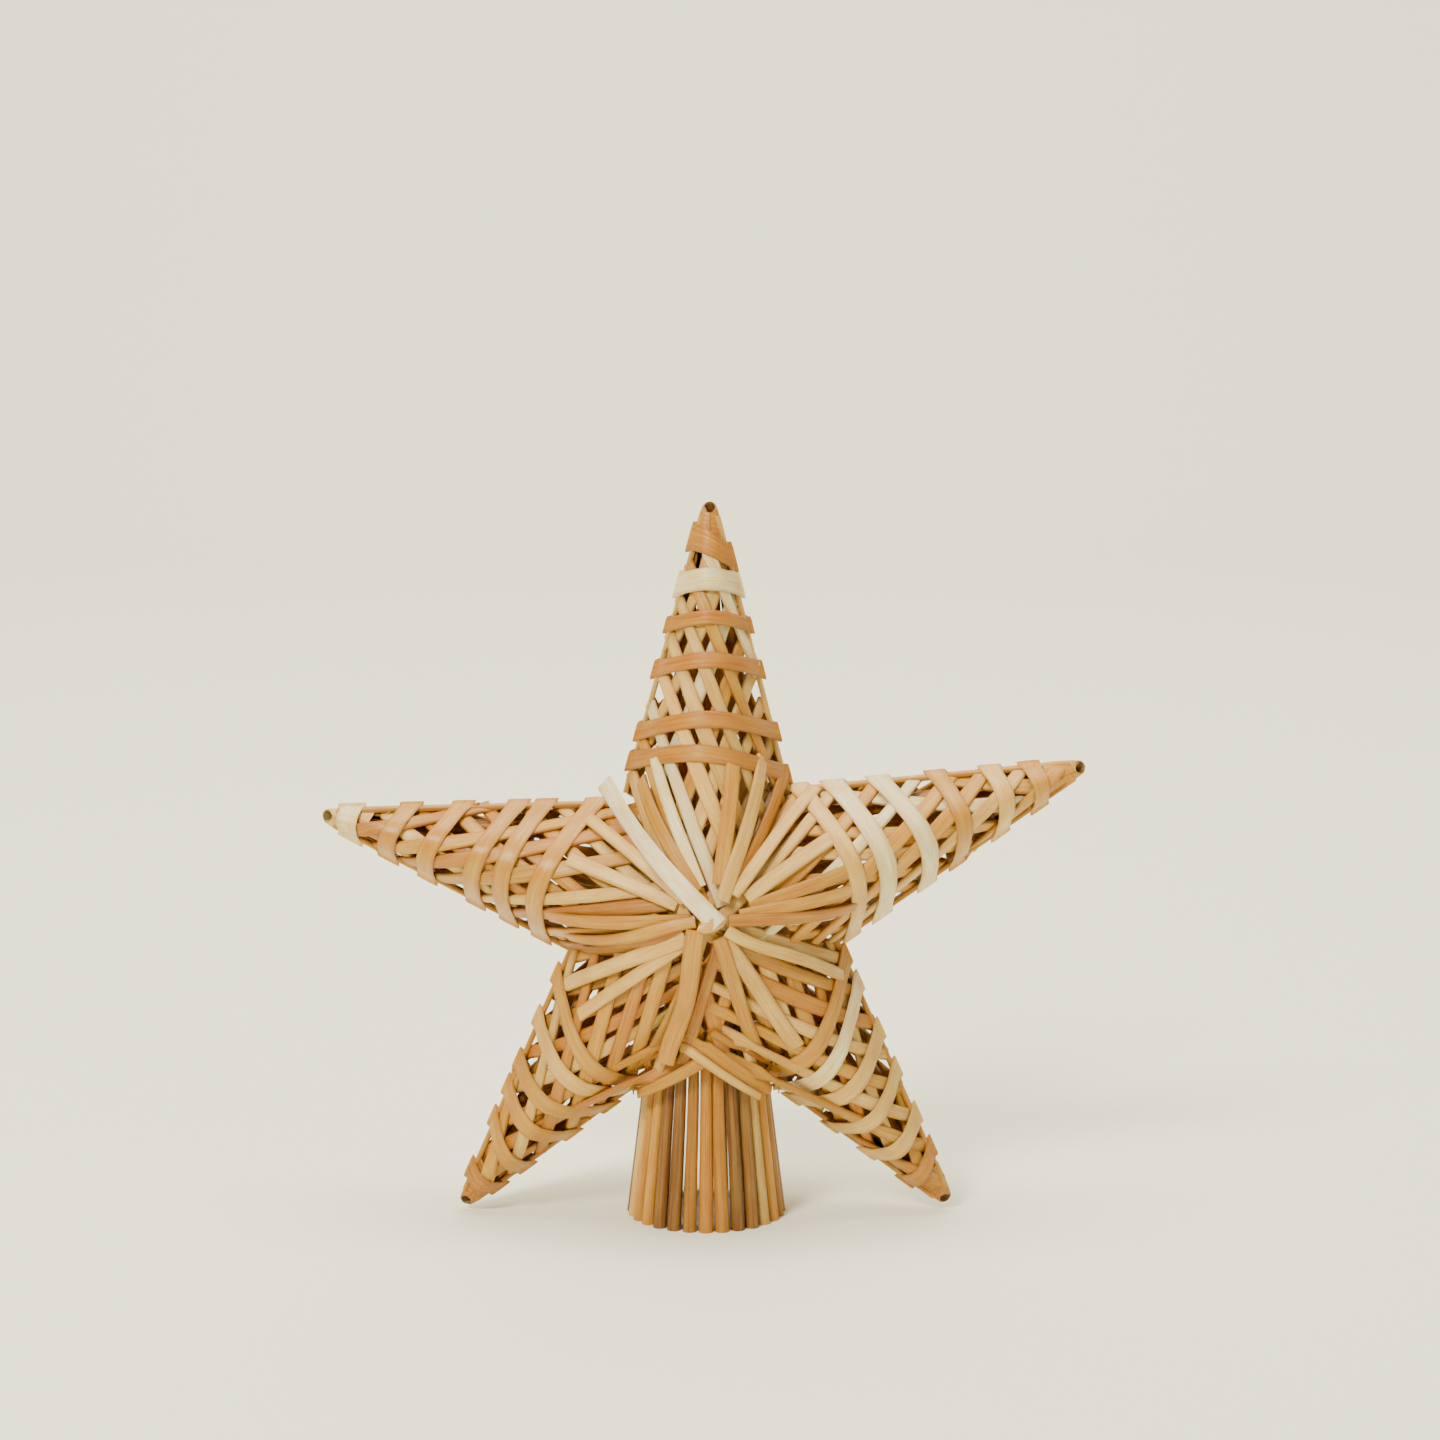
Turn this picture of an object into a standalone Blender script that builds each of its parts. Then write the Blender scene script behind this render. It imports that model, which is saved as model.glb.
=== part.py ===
"""Star tree topper woven of straw.

Five hollow arms of crossing flat straws are wrapped with folded bands, and the star
stands on a flared ring of upright straws. Metres, +Z up, the front faces -Y, and the
origin is the middle of the ring's rim.
"""

import math
from collections import namedtuple

import bmesh
import bpy
from mathutils import Vector

# Clearance between touching straws
GAP = 0.0003

# Ring of upright straws that slips over the tree's leader
BASE_COUNT = 28
BASE_HEIGHT = 0.064
BASE_RIM_RADIUS = 0.0276
BASE_TOP_RADIUS = 0.0194
BASE_STRAW_RIM_DIA = 0.0048
BASE_STRAW_TOP_DIA = 0.0034
BASE_STRAW_SIDES = 6

# Star: its middle above the ring's top, and the skin's half width at a tip with its growth
# per metre from there, and its depth as a share of the half width
MIDDLE_ABOVE_BASE = 0.0425
STAR_HEIGHT = BASE_HEIGHT + MIDDLE_ABOVE_BASE
TIP_HALF_WIDTH = 0.0004
TAPER = 0.265
DEPTH_SHARE = 1.08

# Flat straws of the crossing weave
STRAW_WIDTH = 0.0046
STRAW_THICK = 0.0022
EDGE_STRAW_DEPTH = 0.0026
EDGE_STRAW_START = 0.0045
LAYER_BITE = 0.0004
VALLEY_SHARE = 0.72
FRONT_STEPS = 3
BACK_STEPS = 2

# Where the crossing straws leave the arm's edge, as shares of its length, and their
# spacing beside the star's middle
FRONT_ENDS = (0.16, 0.32, 0.48, 0.64)
BACK_ENDS = (0.22, 0.44, 0.64)
MIDDLE_SPACING = 0.0050

# Wrapping bands: their play over the weave, how far their middles are drawn to the tip,
# and the places between two folds, as shares of the half width
BAND_WIDTH = 0.0052
BAND_THICK = 0.0008
BAND_PLAY = 0.0020
BAND_FROWN = 0.91
BAND_SHARES = (-0.78, -0.40, 0.0, 0.40, 0.78)

# Rolled caps on the tips, with the places round one face as shares of the half width
CAP_LENGTH = 0.012
CAP_TIP_HALF_WIDTH = 0.0030
CAP_WALL = 0.0009
CAP_SHARES = (-1.0, -0.4, 0.4)

# Straws that radiate on the front from the middle: heading, outer end and tone
RAYS = (
    (106.0, 0.041, "orange"), (60.0, 0.040, "cream"), (10.0, 0.041, "golden"), (-14.0, 0.041, "golden"),
    (-40.0, 0.043, "cream"), (-64.0, 0.043, "orange"), (-132.0, 0.043, "orange"), (-163.0, 0.041, "golden"),
)
RAY_START = 0.0135
RAY_PLAY = 0.0029

# The ivory straw folded over the middle, and the golden one that hangs before the ring
IVORY_HEADING = 134.6
IVORY_WIDTH = 0.0056
IVORY_OVERSHOOT = 0.004
IVORY_END = 0.040
IVORY_PLAY = 0.0012
HANGING_HEADING = -101.7
HANGING_WIDTH = 0.0056
HANGING_END = 0.055

# Straws that cross before the top of the ring: both ends, sideways and up from that top
CROSSING_STRAWS = (
    ((-0.006, 0.0040), (0.0180, -0.0165)),
    ((-0.003, -0.0080), (-0.0190, -0.0185)),
)

# Each arm: heading in degrees from +X towards +Z, length from the middle to the tip,
# distances of its bands from the tip, and how far a band leans for each metre from the tip
Arm = namedtuple("Arm", "name heading length bands lean wrap_tone weave_tone")
ARMS = (
    Arm("top", 89.4, 0.1354, (0.0274, 0.0410, 0.0560, 0.0768, 0.0890), 0.02, "orange", "cream"),
    Arm("right", 20.4, 0.1348, (0.0183, 0.0323, 0.0495, 0.0648, 0.0800, 0.0910), -0.02, "ivory", "golden"),
    Arm("lower_right", -51.6, 0.1321, (0.0180, 0.0310, 0.0469, 0.0618, 0.0740), 0.05, "cream", "golden"),
    Arm("lower_left", -128.4, 0.1330, (0.0250, 0.0400, 0.0550, 0.0683, 0.0800), -0.05, "golden", "golden"),
    Arm("left", 166.6, 0.1316, (0.0265, 0.0420, 0.0580, 0.0704, 0.0860), -0.06, "golden", "cream"),
)

# Colour and roughness of each tone of straw
TONES = {
    "ivory": ((0.84, 0.76, 0.55), 0.34),
    "cream": ((0.76, 0.61, 0.38), 0.42),
    "golden": ((0.66, 0.43, 0.20), 0.42),
    "orange": ((0.58, 0.31, 0.11), 0.44),
    "base_tan": ((0.52, 0.27, 0.10), 0.46),
    "base_pale": ((0.68, 0.48, 0.26), 0.44),
}
BASE_TONES = ("base_tan", "base_tan", "base_pale", "base_tan", "base_pale")

# Thickness of the two crossing layers, and the rise of a band above the weave's middle
LAYER_STEP = STRAW_THICK - LAYER_BITE
BAND_RISE = STRAW_THICK / 2 + GAP + BAND_THICK / 2 + BAND_PLAY
BASE_CLEARANCE = LAYER_STEP + STRAW_THICK / 2 + GAP

# Short steps for slopes and searches on the skin, along it and as a share of its half
# width, and the sides of the round cutter that clears the ring
SKIN_STEP = 0.0008
SHARE_STEP = 0.01
CUTTER_SIDES = 48


def clear_scene():
    for old in list(bpy.data.objects):
        bpy.data.objects.remove(old, do_unlink=True)


def new_collection(name):
    made = bpy.data.collections.new(name)
    bpy.context.scene.collection.children.link(made)
    return made


def straw_material(tone):
    colour, roughness = TONES[tone]
    material = bpy.data.materials.new("straw_" + tone)
    material.use_nodes = True
    shader = material.node_tree.nodes["Principled BSDF"]
    shader.inputs["Base Color"].default_value = (*colour, 1.0)
    shader.inputs["Roughness"].default_value = roughness
    shader.inputs["Metallic"].default_value = 0.0
    return material


def finish(bm, name, tone, collection):
    """Turn a bmesh into a named object with its own tone of straw."""
    bmesh.ops.recalc_face_normals(bm, faces=bm.faces)
    mesh = bpy.data.meshes.new(name)
    bm.to_mesh(mesh)
    bm.free()
    mesh.materials.append(MATERIALS[tone])
    made = bpy.data.objects.new(name, mesh)
    collection.objects.link(made)
    return made


# Directions and distances on an arm

def heading_vector(degrees):
    turn = math.radians(degrees)
    return Vector((math.cos(turn), 0.0, math.sin(turn)))


def arm_point(arm, from_tip, across):
    """A point of the star's middle plane, by its distance from the tip and to the arm's left."""
    out = heading_vector(arm.heading)
    side = heading_vector(arm.heading + 90.0)
    return Vector((0.0, 0.0, STAR_HEIGHT)) + out * (arm.length - from_tip) + side * across


def half_width(from_tip):
    return TIP_HALF_WIDTH + TAPER * from_tip


def base_radius(height):
    """Outer radius of the ring of upright straws."""
    share = height / BASE_HEIGHT
    return BASE_RIM_RADIUS + (BASE_TOP_RADIUS - BASE_RIM_RADIUS) * share


def middle_depth():
    longest = sum(arm.length for arm in ARMS) / len(ARMS)
    return DEPTH_SHARE * half_width(longest)


def drape_depth(x, z):
    """Depth of the skin where it is stretched over the ring of upright straws."""
    if z > STAR_HEIGHT:
        return 0.0
    if z <= BASE_HEIGHT:
        reach = base_radius(z) + BASE_CLEARANCE
    else:
        share = (z - BASE_HEIGHT) / (STAR_HEIGHT - BASE_HEIGHT)
        low = BASE_TOP_RADIUS + BASE_CLEARANCE
        reach = low + (middle_depth() - low) * share
    return math.sqrt(max(0.0, reach * reach - x * x))


def skin_depth(arm, from_tip, across):
    half = half_width(from_tip)
    arch = DEPTH_SHARE * half * max(0.0, 1.0 - (across / half) ** 2)
    place = arm_point(arm, from_tip, across)
    return max(arch, drape_depth(place.x, place.z))


def star_depth(x, z):
    """Depth of the skin at a place of the middle plane, on the arm whose sector holds it."""
    offset = Vector((x, 0.0, z - STAR_HEIGHT))
    best = max(ARMS, key=lambda arm: offset.dot(heading_vector(arm.heading)))
    along = offset.dot(heading_vector(best.heading))
    across = offset.dot(heading_vector(best.heading + 90.0))
    return skin_depth(best, best.length - along, across)


def surface_normal(depth_at, x, z, face):
    """Outward direction of the skin, from its slope, no steeper than its arch at an edge."""
    slope_x = (depth_at(x + SKIN_STEP, z) - depth_at(x - SKIN_STEP, z)) / (2 * SKIN_STEP)
    slope_z = (depth_at(x, z + SKIN_STEP) - depth_at(x, z - SKIN_STEP)) / (2 * SKIN_STEP)
    limit = 2 * DEPTH_SHARE
    slope_x = max(-limit, min(limit, slope_x))
    slope_z = max(-limit, min(limit, slope_z))
    return Vector((-slope_x, -face, -slope_z)).normalized()


def taut(depths):
    """A stiff straw bridges every dip between the places that carry it."""
    count = len(depths)
    lifted = list(depths)
    for middle in range(1, count - 1):
        for low in range(middle):
            for high in range(middle + 1, count):
                share = (middle - low) / (high - low)
                bridge = depths[low] + (depths[high] - depths[low]) * share
                lifted[middle] = max(lifted[middle], bridge)
    return lifted


# Straws

def add_lath(bm, centres, normals, across, width, thick):
    """Loft a flat straw with four corners through its centres."""
    rings = []
    for centre, normal, side in zip(centres, normals, across):
        half_side = side * (width / 2)
        half_up = normal * (thick / 2)
        corners = (centre - half_side - half_up, centre + half_side - half_up,
                   centre + half_side + half_up, centre - half_side + half_up)
        rings.append([bm.verts.new(corner) for corner in corners])
    for ring, after in zip(rings, rings[1:]):
        for index in range(4):
            following = (index + 1) % 4
            bm.faces.new((ring[index], ring[following], after[following], after[index]))
    bm.faces.new(rings[0][::-1])
    bm.faces.new(rings[-1])


def spaced(start, end, steps):
    return [start.lerp(end, index / steps) for index in range(steps + 1)]


def add_laid_straw(bm, places, depth_at, face, rise, width, twists):
    """A straight straw laid on the skin over a row of places of the middle plane.

    One that twists follows the skin's slope all the way, and one that doesn't keeps its
    mean tilt, which leaves its faces flat where other straws cross it.
    """
    last = len(places) - 1
    depths = taut([depth_at(place.x, place.z) for place in places])
    normals = [surface_normal(depth_at, place.x, place.z, face) for place in places]
    centres = [Vector((place.x, -face * depth, place.z)) + normal * rise
               for place, depth, normal in zip(places, depths, normals)]
    if not twists:
        mean = sum(normals, Vector()).normalized()
        normals = [mean] * len(places)
        runs = [centres[-1] - centres[0]] * len(places)
    else:
        runs = [centres[min(index + 1, last)] - centres[max(index - 1, 0)]
                for index in range(len(places))]
    across = [normal.cross(run).normalized() for normal, run in zip(normals, runs)]
    normals = [run.cross(side).normalized() for run, side in zip(runs, across)]
    add_lath(bm, centres, normals, across, width, STRAW_THICK)


def add_edge_straw(bm, arm, hand, last):
    """The straw that runs inside the folds of the bands, along one edge of an arm."""
    side = heading_vector(arm.heading + 90.0) * hand
    centres = [arm_point(arm, far, hand * half_width(far)) for far in (EDGE_STRAW_START, last)]
    deep = Vector((0.0, 1.0, 0.0))
    add_lath(bm, centres, [side, side], [deep, deep], EDGE_STRAW_DEPTH, STRAW_THICK)


def is_inner_edge(arm, hand):
    """Whether an arm's edge runs down beside the ring of upright straws."""
    side = heading_vector(arm.heading + 90.0) * hand
    out = heading_vector(arm.heading)
    return out.z < 0.0 and side.x * out.x < 0.0


def edge_straw_end(arm, hand):
    """Distance from the tip where an edge straw ends: the valley, or just clear of the ring."""
    valley = VALLEY_SHARE * arm.length
    if not is_inner_edge(arm, hand):
        return valley
    far = 0.0
    while far < valley:
        place = arm_point(arm, far, hand * half_width(far))
        if abs(place.x) < base_radius(place.z) + STRAW_THICK + BAND_RISE + BAND_THICK:
            return far - STRAW_THICK
        far += SKIN_STEP
    return valley


def sector_wedge(arm, face, cutters):
    """The space of one arm, front or back, between its neighbours' halfway planes."""
    headings = sorted(other.heading for other in ARMS)
    index = headings.index(arm.heading)
    after = headings[(index + 1) % len(headings)] + (360.0 if index == len(headings) - 1 else 0.0)
    before = headings[index - 1] - (360.0 if index == 0 else 0.0)
    high = (arm.heading + after) / 2
    low = (arm.heading + before) / 2
    middle = Vector((0.0, 0.0, STAR_HEIGHT))
    inset = GAP / 2
    opening = math.radians(high - low)
    apex = middle + heading_vector((high + low) / 2) * (inset / math.sin(opening / 2))
    far = arm.length * 2
    near_y = -face * GAP / 2
    far_y = -face * middle_depth() * 2
    bm = bmesh.new()
    corners = (apex, apex + heading_vector(low) * far, apex + heading_vector(high) * far)
    near = [bm.verts.new((corner.x, near_y, corner.z)) for corner in corners]
    bottom = bm.faces.new(near)
    grown = bmesh.ops.extrude_face_region(bm, geom=[bottom])
    moved = [item for item in grown["geom"] if isinstance(item, bmesh.types.BMVert)]
    bmesh.ops.translate(bm, verts=moved, vec=(0.0, far_y - near_y, 0.0))
    name = "sector_" + arm.name + ("_front" if face > 0 else "_back")
    return as_cutter(finish(bm, name, "cream", cutters))


def as_cutter(made):
    made.hide_render = True
    made.display_type = "WIRE"
    return made


def base_clearance(cutters):
    """The room that the ring of upright straws takes inside the star."""
    bm = bmesh.new()
    reach = BASE_HEIGHT + GAP
    bmesh.ops.create_cone(bm, cap_ends=True, segments=CUTTER_SIDES, depth=reach * 2,
                          radius1=base_radius(-reach) + 2 * GAP, radius2=base_radius(reach) + 2 * GAP)
    return as_cutter(finish(bm, "base_room", "cream", cutters))


def add_boolean(target, cutter, operation, own_crossings):
    modifier = target.modifiers.new(operation.lower(), "BOOLEAN")
    modifier.operation = operation
    modifier.object = cutter
    modifier.solver = "EXACT"
    modifier.use_self = own_crossings


def build_weave(arm, face, parts, cutters, room):
    """One face of an arm: two layers of crossing flat straws between its edge straws."""
    bm = bmesh.new()
    ends = FRONT_ENDS if face > 0 else BACK_ENDS
    steps = FRONT_STEPS if face > 0 else BACK_STEPS

    def depth_at(x, z):
        offset = Vector((x, 0.0, z - STAR_HEIGHT))
        along = offset.dot(heading_vector(arm.heading))
        across = offset.dot(heading_vector(arm.heading + 90.0))
        return skin_depth(arm, arm.length - along, across)

    for hand, rise in ((1, 0.0), (-1, -LAYER_STEP)):
        for index, share in enumerate(ends):
            far = share * arm.length
            start = arm_point(arm, far, hand * half_width(far))
            beside = (len(ends) - 1.0 - index) * MIDDLE_SPACING
            end = arm_point(arm, arm.length, -hand * beside)
            add_laid_straw(bm, spaced(start, end, steps), depth_at, face, rise, STRAW_WIDTH, False)
        add_edge_straw(bm, arm, hand, edge_straw_end(arm, hand))
    name = arm.name + ("_arm_front_weave" if face > 0 else "_arm_back_weave")
    weave = finish(bm, name, arm.weave_tone, parts)
    add_boolean(weave, sector_wedge(arm, face, cutters), "INTERSECT", True)
    if arm.heading < 0.0:
        add_boolean(weave, room, "DIFFERENCE", False)


def band_point(arm, from_tip, share, face):
    """A point of the surface that the bands lie on, by its share of the half width."""
    half = half_width(from_tip)
    place = arm_point(arm, from_tip, share * (half + BAND_RISE))
    bridge = DEPTH_SHARE * half * (BAND_SHARES[-1] - BAND_SHARES[-2]) ** 2 / 4
    arch = (DEPTH_SHARE * half + BAND_RISE + bridge) * (1.0 - share * share)
    draped = drape_depth(place.x, place.z)
    if draped > 0.0:
        arch = max(arch, draped + BAND_RISE)
    place.y = -face * arch
    return place


def fold_point(arm, from_tip, hand):
    """Where a band folds over an edge, drawn in where the ring of upright straws stands."""
    across = half_width(from_tip) + BAND_RISE
    if is_inner_edge(arm, hand):
        root = from_tip + BAND_WIDTH / 2
        while across > 0.0:
            place = arm_point(arm, root, hand * across)
            if abs(place.x) > base_radius(place.z) + GAP + BAND_THICK:
                break
            across -= BAND_THICK / 4
    return arm_point(arm, from_tip, hand * across)


def band_pass(start, end, hand, face):
    """One crossing of a face, from fold to fold, nearer the tip in its middle."""
    apex = TIP_HALF_WIDTH / TAPER
    made = [(start, -hand, 0)]
    for share in BAND_SHARES:
        along = start + (end - start) * (share + 1.0) / 2
        frown = BAND_FROWN + (1.0 - BAND_FROWN) * share * share
        made.append(((along + apex) * frown - apex, share * hand, face))
    return made


def band_stations(arm):
    """The wrap's way round an arm, as (distance from the tip, share across, face)."""
    hand = -1 if is_inner_edge(arm, 1) else 1
    edges = [(far * (1.0 - arm.lean), far * (1.0 + arm.lean)) for far in reversed(arm.bands)]
    stations = []
    for index, (left, right) in enumerate(edges):
        start, end = (left, right) if hand > 0 else (right, left)
        stations += band_pass(start, end, hand, 1)
        if index + 1 < len(edges):
            following = edges[index + 1][0 if hand > 0 else 1]
            stations += band_pass(end, following, -hand, -1)
    if arm.heading < 0.0:
        stations = stations[1:]
    return stations


def build_wrap(arm, parts):
    """The long straw that is wound round an arm and folded flat at each edge."""
    bm = bmesh.new()
    centres = []
    normals = []
    across = []
    for far, share, face in band_stations(arm):
        if face == 0:
            centres.append(fold_point(arm, far, share))
            normals.append(heading_vector(arm.heading + 90.0) * share)
            across.append((fold_point(arm, far + SKIN_STEP, share) - centres[-1]).normalized())
            continue
        here = band_point(arm, far, share, face)
        along = band_point(arm, far + SKIN_STEP, share, face) - here
        over = band_point(arm, far, share + SHARE_STEP, face) - here
        normal = along.cross(over).normalized()
        if normal.y * face > 0.0:
            normal = -normal
        centres.append(here)
        normals.append(normal)
        across.append(along.normalized())
    add_lath(bm, centres, normals, across, BAND_WIDTH, BAND_THICK)
    finish(bm, arm.name + "_arm_wrap", arm.wrap_tone, parts)


def build_cap(arm, parts):
    """The short straw rolled round a tip, open at its end."""
    bm = bmesh.new()
    root_half = half_width(CAP_LENGTH) + BAND_RISE
    rings = []
    for inset in (0.0, CAP_WALL):
        for far, half in ((0.0, CAP_TIP_HALF_WIDTH - inset), (CAP_LENGTH, root_half - inset)):
            ring = []
            for face in (1, -1):
                for share in CAP_SHARES:
                    place = arm_point(arm, far, share * face * half)
                    place.y = -face * half * (1.0 - share * share)
                    ring.append(bm.verts.new(place))
            rings.append(ring)
    outer_tip, outer_root, inner_tip, inner_root = rings
    count = len(outer_tip)
    for first, second in ((outer_tip, outer_root), (outer_root, inner_root),
                          (inner_root, inner_tip), (inner_tip, outer_tip)):
        for index in range(count):
            following = (index + 1) % count
            bm.faces.new((first[index], first[following], second[following], second[index]))
    finish(bm, arm.name + "_tip_cap", arm.wrap_tone, parts)


def build_front_straw(name, tone, places, rise, width, parts):
    bm = bmesh.new()
    add_laid_straw(bm, places, star_depth, 1, rise, width, True)
    finish(bm, name, tone, parts)


def build_rays(parts):
    """The straws laid over the front weaves: radiating, folded over the middle and crossing."""
    middle = Vector((0.0, 0.0, STAR_HEIGHT))
    rise = STRAW_THICK + GAP + RAY_PLAY
    for index, (heading, end, tone) in enumerate(RAYS):
        out = heading_vector(heading)
        places = spaced(middle + out * RAY_START, middle + out * end, FRONT_STEPS)
        build_front_straw("middle_straw_%02d" % (index + 1), tone, places, rise, STRAW_WIDTH, parts)
    out = heading_vector(IVORY_HEADING)
    places = [middle - out * IVORY_OVERSHOOT] + spaced(middle, middle + out * IVORY_END, FRONT_STEPS)
    build_front_straw("ivory_middle_straw", "ivory", places, rise + IVORY_PLAY, IVORY_WIDTH, parts)
    out = heading_vector(HANGING_HEADING)
    places = spaced(middle + out * RAY_START, middle + out * HANGING_END, FRONT_STEPS)
    build_front_straw("hanging_middle_straw", "golden", places, rise + STRAW_THICK + GAP,
                      HANGING_WIDTH, parts)
    for index, ends in enumerate(CROSSING_STRAWS):
        first, second = (Vector((x, 0.0, BASE_HEIGHT + up)) for x, up in ends)
        places = spaced(first, second, FRONT_STEPS)
        build_front_straw("crossing_straw_%d" % (index + 1), "cream", places, rise, STRAW_WIDTH, parts)


def build_base(parts):
    """The ring of upright straws, each cut level at the rim."""
    meshes = {}
    for tone in sorted(set(BASE_TONES)):
        bm = bmesh.new()
        rim_radius = BASE_STRAW_RIM_DIA / 2
        top_radius = BASE_STRAW_TOP_DIA / 2
        bmesh.ops.create_cone(bm, cap_ends=True, segments=BASE_STRAW_SIDES, depth=BASE_HEIGHT,
                              radius1=rim_radius, radius2=top_radius)
        for vert in bm.verts:
            shift = BASE_RIM_RADIUS - rim_radius if vert.co.z < 0.0 else BASE_TOP_RADIUS - top_radius
            vert.co.x += shift
            vert.co.z += BASE_HEIGHT / 2
        mesh = bpy.data.meshes.new("upright_straw_" + tone)
        bm.to_mesh(mesh)
        bm.free()
        mesh.materials.append(MATERIALS[tone])
        meshes[tone] = mesh
    for index in range(BASE_COUNT):
        tone = BASE_TONES[index % len(BASE_TONES)]
        straw = bpy.data.objects.new("base_straw_%02d" % (index + 1), meshes[tone])
        straw.rotation_euler = (0.0, 0.0, math.tau * index / BASE_COUNT)
        parts.objects.link(straw)


clear_scene()
MATERIALS = {tone: straw_material(tone) for tone in TONES}
PARTS = new_collection("star_tree_topper")
CUTTERS = new_collection("cutters")
ROOM = base_clearance(CUTTERS)
build_base(PARTS)
for each in ARMS:
    build_weave(each, 1, PARTS, CUTTERS, ROOM)
    build_weave(each, -1, PARTS, CUTTERS, ROOM)
    build_wrap(each, PARTS)
    build_cap(each, PARTS)
build_rays(PARTS)
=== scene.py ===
"""Looks of the star tree topper: every stalk of straw, fold and cut end, with light and camera."""

import math
import random

import bmesh
import bpy
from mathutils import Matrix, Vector


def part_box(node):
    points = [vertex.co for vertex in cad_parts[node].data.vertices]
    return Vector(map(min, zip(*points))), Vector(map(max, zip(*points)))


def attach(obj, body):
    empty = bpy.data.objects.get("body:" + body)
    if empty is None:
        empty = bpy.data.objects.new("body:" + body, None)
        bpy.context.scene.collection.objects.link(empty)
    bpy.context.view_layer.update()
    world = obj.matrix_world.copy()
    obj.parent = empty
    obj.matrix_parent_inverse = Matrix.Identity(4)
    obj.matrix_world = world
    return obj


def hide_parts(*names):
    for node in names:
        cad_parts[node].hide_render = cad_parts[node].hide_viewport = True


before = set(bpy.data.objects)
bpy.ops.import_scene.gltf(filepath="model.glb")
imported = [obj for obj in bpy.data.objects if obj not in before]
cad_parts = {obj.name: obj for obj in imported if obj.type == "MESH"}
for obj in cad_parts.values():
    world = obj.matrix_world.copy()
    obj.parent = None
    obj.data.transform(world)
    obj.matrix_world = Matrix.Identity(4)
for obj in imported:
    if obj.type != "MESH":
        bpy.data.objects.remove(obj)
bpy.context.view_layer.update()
MM = 0.001
chance = random.Random(28)

# Ring of upright straws
# Whole round stalks of ripe straw stand side by side in a flared ring that is tied inside the
# star. They are cut level at the rim, where each shows its hollow, and slip over the tree's tip.

RING_COUNT = 28
RING_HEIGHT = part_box("base_straw_01")[1][2]
RING_RIM_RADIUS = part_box("base_straw_01")[1][0]
RING_TOP_RADIUS = 0.0194
STALK_RIM_WIDTH = 0.0051
STALK_TOP_WIDTH = 0.0038
STALK_BORE = 0.014
STALK_SIDES = 16
STALK_RINGS = 14
STALK_BOW = 0.00035
STALK_THINNEST = 0.88
STALK_THICKEST = 0.98
STALK_FLATTEST = 0.90
STALK_SPREAD = 0.26


def from_screen(red, green, blue):
    """Linear colour of a colour given as it looks on a screen."""
    def linear(value):
        share = value / 255.0
        return share / 12.92 if share <= 0.04045 else ((share + 0.055) / 1.055) ** 2.4
    return (linear(red), linear(green), linear(blue))


TONES = {
    "pale": from_screen(253, 246, 214),
    "ivory": from_screen(244, 232, 180),
    "cream": from_screen(224, 188, 104),
    "golden": from_screen(202, 148, 44),
    "orange": from_screen(186, 122, 22),
    "brown": from_screen(128, 78, 16),
}

# Grain of the straw: noise for each mm across and along, its detail, and its two levels
FIBRES = (5.5, 0.07, 5.0, 0.32, 0.68)
STREAKS = (1.2, 0.025, 3.0, 0.35, 0.68)
CLOUDS = (0.30, 0.07, 3.0, 0.36, 0.64)
FLECKS = (2.6, 0.55, 7.0, 0.64, 0.74)

# What each grain does to a stalk's colour, and how strongly
BETWEEN_FIBRES = (0.70, 0.60, 0.48)
STREAK_LIGHT = (0.44, 0.34, 0.10)
STREAK_SHARE = 0.30
CLOUD_WARMTH = (0.92, 0.76, 0.55)
FLECK_BROWN = (0.45, 0.25, 0.12)
FLECK_SHARE = 0.55
# Each pressed stalk is darker towards its edges: the colour and share of that darkening
EDGE_DARKENING_COLOUR = (0.62, 0.46, 0.30)
EDGE_DARKENING_SHARE = 0.55

# Gloss: how far the fibres roughen or polish a stalk, its coat and its relief
ROUGHER = 0.12
GLOSSIER = 0.06
COAT_ROUGHNESS = 0.28
SPECULAR_LEVEL = 0.32
RELIEF_STRENGTH = 0.55


def mix_colours(tree, blend, factor, first, second):
    """A mix node whose inputs are sockets, numbers or colours; gives its colour output."""
    node = tree.nodes.new("ShaderNodeMix")
    node.data_type = "RGBA"
    node.blend_type = blend
    for socket, value in ((node.inputs[0], factor), (node.inputs[6], first), (node.inputs[7], second)):
        if isinstance(value, bpy.types.NodeSocket):
            tree.links.new(value, socket)
        elif isinstance(value, tuple):
            socket.default_value = (*value, 1.0)
        else:
            socket.default_value = value
    return node.outputs[2]


def stretched_noise(tree, per_mm_across, per_mm_along, detail, low, high):
    """Noise drawn out along the straw, from 0 to 1 between two of its levels."""
    place = tree.nodes.new("ShaderNodeUVMap")
    place.uv_map = "along_straw"
    mapping = tree.nodes.new("ShaderNodeMapping")
    mapping.inputs["Scale"].default_value = (per_mm_across, per_mm_along, 1.0)
    noise = tree.nodes.new("ShaderNodeTexNoise")
    noise.inputs["Scale"].default_value = 1.0
    noise.inputs["Detail"].default_value = detail
    levels = tree.nodes.new("ShaderNodeMapRange")
    levels.inputs["From Min"].default_value = low
    levels.inputs["From Max"].default_value = high
    tree.links.new(place.outputs["UV"], mapping.inputs["Vector"])
    tree.links.new(mapping.outputs["Vector"], noise.inputs["Vector"])
    tree.links.new(noise.outputs[0], levels.inputs["Value"])
    return levels.outputs["Result"]


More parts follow.
